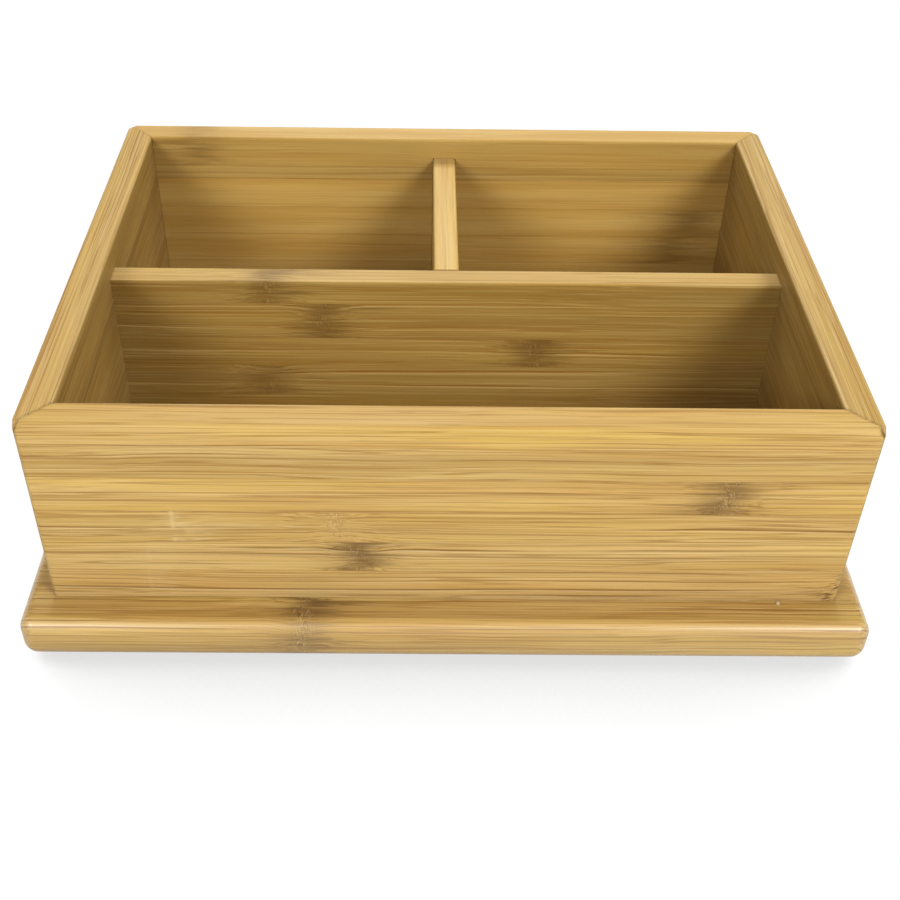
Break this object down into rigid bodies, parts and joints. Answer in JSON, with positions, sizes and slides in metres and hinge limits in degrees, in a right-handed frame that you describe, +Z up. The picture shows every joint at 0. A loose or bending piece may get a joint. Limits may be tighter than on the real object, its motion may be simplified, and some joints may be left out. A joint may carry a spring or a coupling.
{
  "type": "amenity caddy",
  "caption": "Open bamboo caddy with mitred walls and low dividers that make a long front pocket and paired rear pockets, on a wider round-edged base.",
  "frame": {"origin": "on the surface that the feet stand on, under the middle of the base board", "axes": "+X along the long side, to the right seen from the front; -Y is the front, the side of the single long pocket; +Z up"},
  "size_m": [0.245, 0.196, 0.0801],
  "materials": {
    "bamboo_wall": "golden laminated bamboo, satin clear lacquer",
    "bamboo_base": "golden laminated bamboo, satin clear lacquer",
    "bamboo_divider": "golden laminated bamboo, satin clear lacquer",
    "bamboo_spline": "bare bamboo, glued",
    "screw_steel": "zinc-plated wood screw",
    "foot_rubber": "matt soft rubber pad"
  },
  "bodies": {
    "root": {"base_plate": "bamboo_base", "front_wall": "bamboo_wall", "rear_wall": "bamboo_wall", "left_wall": "bamboo_wall", "right_wall": "bamboo_wall", "cross_divider": "bamboo_divider", "rear_divider": "bamboo_divider", "corner_spline_front_left": "bamboo_spline", "corner_spline_front_right": "bamboo_spline", "corner_spline_rear_left": "bamboo_spline", "corner_spline_rear_right": "bamboo_spline", "base_screw_front_wall_left": "screw_steel", "base_screw_front_wall_right": "screw_steel", "base_screw_rear_wall_left": "screw_steel", "base_screw_rear_wall_right": "screw_steel", "base_screw_left_wall_front": "screw_steel", "base_screw_left_wall_rear": "screw_steel", "base_screw_right_wall_front": "screw_steel", "base_screw_right_wall_rear": "screw_steel", "foot_front_left": "foot_rubber", "foot_front_right": "foot_rubber", "foot_rear_left": "foot_rubber", "foot_rear_right": "foot_rubber"}
  },
  "joints": []
}
